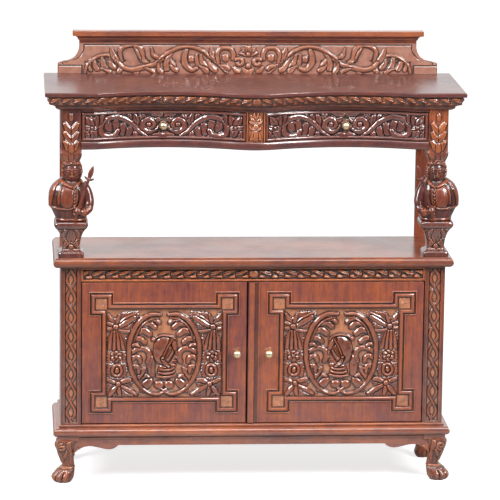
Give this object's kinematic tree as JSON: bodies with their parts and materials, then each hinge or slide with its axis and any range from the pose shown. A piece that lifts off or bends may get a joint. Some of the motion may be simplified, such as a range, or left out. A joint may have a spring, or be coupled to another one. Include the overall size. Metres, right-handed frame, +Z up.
{
  "type": "buffet",
  "caption": "Carved tiered buffet with a serpentine top, drawers over an open bay held by half figures, a panelled door cabinet below and paw feet.",
  "frame": {"origin": "on the floor, in the middle of the overall box", "axes": "+Z up, the front with its doors and drawers looks along -Y, +X to the right seen from the front"},
  "size_m": [1.25, 0.4146, 1.33],
  "materials": {
    "carved_wood": "dark stained mahogany, lacquered",
    "polished_wood": "dark stained mahogany, polished",
    "inner_wood": "plain, unpolished",
    "brass": "polished",
    "hinge_brass": "satin"
  },
  "bodies": {
    "case": {"base_board": "polished_wood", "base_moulding_front": "polished_wood", "base_moulding_returns": "polished_wood", "cabinet_back": "inner_wood", "cornice_back": "inner_wood", "cornice_front": "carved_wood", "cornice_returns": "carved_wood", "drawer_bottom_rail": "carved_wood", "drawer_divider": "carved_wood", "drawer_partition": "inner_wood", "drawer_runners": "inner_wood", "drawer_top_rail": "carved_wood", "frieze_back": "inner_wood", "frieze_sides": "polished_wood", "front_apron": "polished_wood", "front_left_foot": "carved_wood", "front_right_foot": "carved_wood", "gallery_board": "carved_wood", "gallery_cap": "polished_wood", "head_rail": "carved_wood", "inner_shelf": "inner_wood", "left_figure": "carved_wood", "left_front_post": "carved_wood", "left_pedestal": "carved_wood", "left_stile": "carved_wood", "middle_shelf": "polished_wood", "pivot_plates": "hinge_brass", "rear_left_foot": "carved_wood", "rear_posts": "polished_wood", "rear_right_foot": "carved_wood", "right_figure": "carved_wood", "right_front_post": "carved_wood", "right_pedestal": "carved_wood", "right_stile": "carved_wood", "shelf_pins": "hinge_brass", "side_panels": "carved_wood", "spears": "carved_wood", "strike_plates": "hinge_brass", "top_board": "polished_wood"},
    "left_door": {"left_door_catch": "hinge_brass", "left_door_frame": "polished_wood", "left_door_knob": "brass", "left_door_moulding": "polished_wood", "left_door_panel": "carved_wood", "left_door_sockets": "hinge_brass"},
    "right_door": {"right_door_astragal": "polished_wood", "right_door_catch": "hinge_brass", "right_door_frame": "polished_wood", "right_door_knob": "brass", "right_door_moulding": "polished_wood", "right_door_panel": "carved_wood", "right_door_sockets": "hinge_brass"},
    "left_drawer": {"left_drawer_bottom": "inner_wood", "left_drawer_front": "carved_wood", "left_drawer_knob": "brass", "left_drawer_walls": "inner_wood"},
    "right_drawer": {"right_drawer_bottom": "inner_wood", "right_drawer_front": "carved_wood", "right_drawer_knob": "brass", "right_drawer_walls": "inner_wood"}
  },
  "joints": [
    {"name": "left_door_hinge", "type": "hinge", "parent": "case", "child": "left_door", "pos_m": [-0.505, -0.14315, 0.401], "axis": [0, 0, -1], "range_deg": [0, 100]},
    {"name": "right_door_hinge", "type": "hinge", "parent": "case", "child": "right_door", "pos_m": [0.505, -0.14315, 0.401], "axis": [0, 0, 1], "range_deg": [0, 100]},
    {"name": "left_drawer_slide", "type": "slide", "parent": "case", "child": "left_drawer", "axis": [0, -1, 0], "range_m": [0, 0.18]},
    {"name": "right_drawer_slide", "type": "slide", "parent": "case", "child": "right_drawer", "axis": [0, -1, 0], "range_m": [0, 0.18]}
  ]
}
